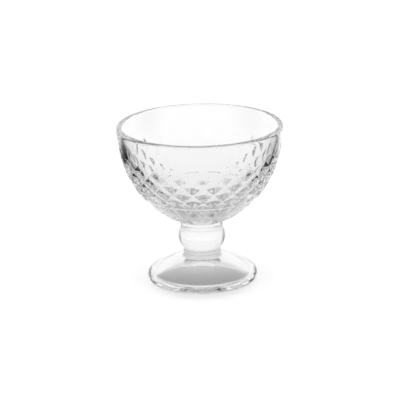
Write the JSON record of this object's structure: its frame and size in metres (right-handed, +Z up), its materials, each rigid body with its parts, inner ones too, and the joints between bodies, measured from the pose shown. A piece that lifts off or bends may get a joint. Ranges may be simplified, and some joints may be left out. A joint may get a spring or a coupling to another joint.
{
  "type": "ice cream cup",
  "caption": "Footed clear glass cup for ice cream: a wide round bowl with a pressed diamond relief and fluted underside, on a ball stem and a domed round foot.",
  "frame": {"origin": "on the table, under the middle of the foot", "axes": "+Z up along the cup's axis, from the foot to the rim; the diamonds repeat evenly about it"},
  "size_m": [0.1, 0.1, 0.096],
  "materials": {
    "clear_glass": "clear colourless pressed glass, fire-polished smooth"
  },
  "bodies": {
    "root": {"bowl": "clear_glass", "bowl_collar": "clear_glass", "ball_stem": "clear_glass", "foot_collar": "clear_glass", "foot": "clear_glass"}
  },
  "joints": []
}
